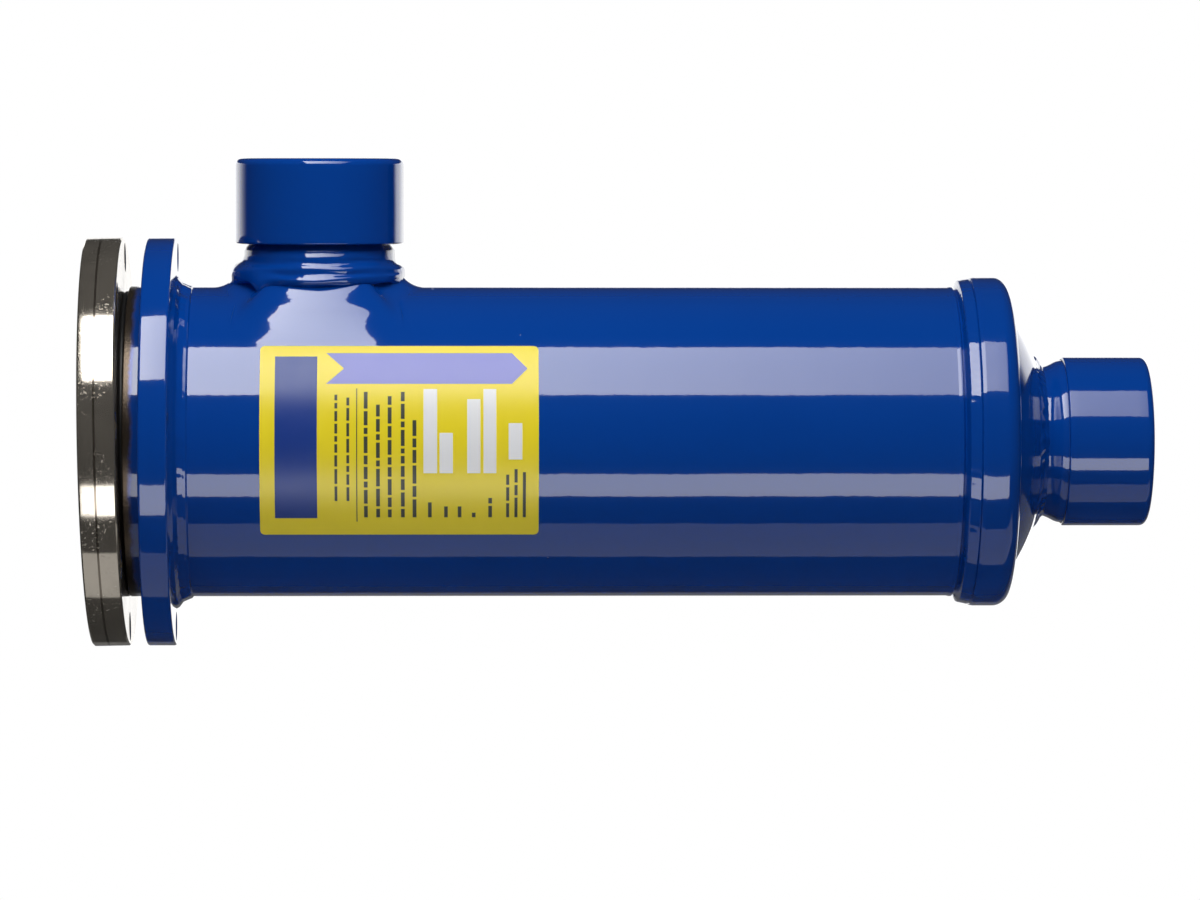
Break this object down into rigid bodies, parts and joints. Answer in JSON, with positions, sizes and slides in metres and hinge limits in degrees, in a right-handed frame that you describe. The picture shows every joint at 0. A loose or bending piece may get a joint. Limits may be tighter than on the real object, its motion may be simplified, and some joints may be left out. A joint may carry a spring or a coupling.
{
  "type": "filter drier",
  "caption": "Blue steel tube shell for solid drying cores, with a bolt-on bare cover, a side inlet socket near it and an axial outlet socket in the pressed end cap.",
  "frame": {"origin": "centre of the outlet socket's mouth, on the shell's axis", "axes": "+X along the shell's axis, the way the refrigerant leaves the outlet; +Z the way the inlet branch points; +Y away from the label side"},
  "size_m": [0.39, 0.1504, 0.1796],
  "materials": {
    "blue_paint": "thick glossy blue powder coat",
    "turned_steel": "bare turned steel, fine concentric lines",
    "plated_steel": "zinc-plated sheet and rod",
    "spring_steel": "drawn spring wire",
    "core_block": "matte moulded desiccant grain",
    "felt": "pressed white felt",
    "gasket_fibre": "compressed fibre sheet",
    "seal_rubber": "oiled black rubber",
    "label_print": "glossy printed film in plain yellow, lavender, blue and white fields"
  },
  "bodies": {
    "shell": {"shell_tube": "blue_paint", "flange_ring": "blue_paint", "flange_weld": "blue_paint", "end_cap": "blue_paint", "cap_weld": "blue_paint", "outlet_neck": "blue_paint", "outlet_weld": "blue_paint", "outlet_socket": "blue_paint", "inlet_neck": "blue_paint", "inlet_weld": "blue_paint", "inlet_socket": "blue_paint", "label": "label_print", "outlet_gasket": "gasket_fibre", "outlet_plate": "plated_steel", "rod_spider": "plated_steel", "strainer_tube": "plated_steel", "tie_rod": "plated_steel", "tie_rod_nuts": "plated_steel", "tie_rod_washer": "plated_steel", "core_outlet_side": "core_block", "core_inlet_side": "core_block", "middle_plate": "plated_steel", "felt_pad_1": "felt", "felt_pad_2": "felt", "felt_pad_3": "felt", "felt_pad_4": "felt", "end_plate": "plated_steel", "pack_spring": "spring_steel"},
    "cover": {"cover_plate": "turned_steel", "cover_seal": "seal_rubber"}
  },
  "joints": [
    {"name": "cover_lift", "type": "slide", "parent": "shell", "child": "cover", "axis": [-1, 0, 0], "range_m": [0, 0.15]}
  ]
}
